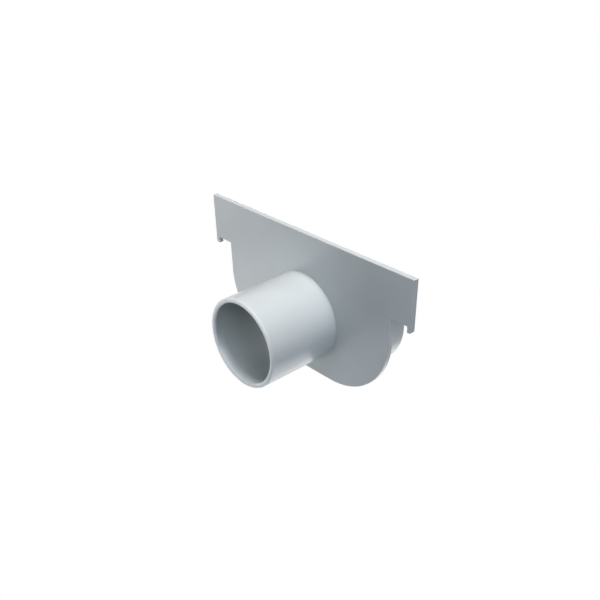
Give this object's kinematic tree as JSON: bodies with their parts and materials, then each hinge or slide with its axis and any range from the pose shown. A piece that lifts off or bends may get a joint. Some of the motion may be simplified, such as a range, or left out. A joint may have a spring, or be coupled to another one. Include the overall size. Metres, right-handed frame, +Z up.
{
  "type": "channel end cap with outlet spigot",
  "caption": "Flat end cap for a drainage channel or box gutter, with a round outlet spigot in front, hooked wings at the top and a trough-shaped plug collar behind.",
  "frame": {"origin": "on the spigot's axis, at the plate's rear face, which butts against the channel's end", "axes": "+X along the plate's width, +Y into the channel, the spigot points to -Y, +Z up to the plate's straight top edge"},
  "size_m": [0.1526, 0.0586, 0.0815],
  "materials": {
    "grey_plastic": "satin light grey moulded plastic"
  },
  "bodies": {
    "root": {"end_cap": "grey_plastic"}
  },
  "joints": []
}
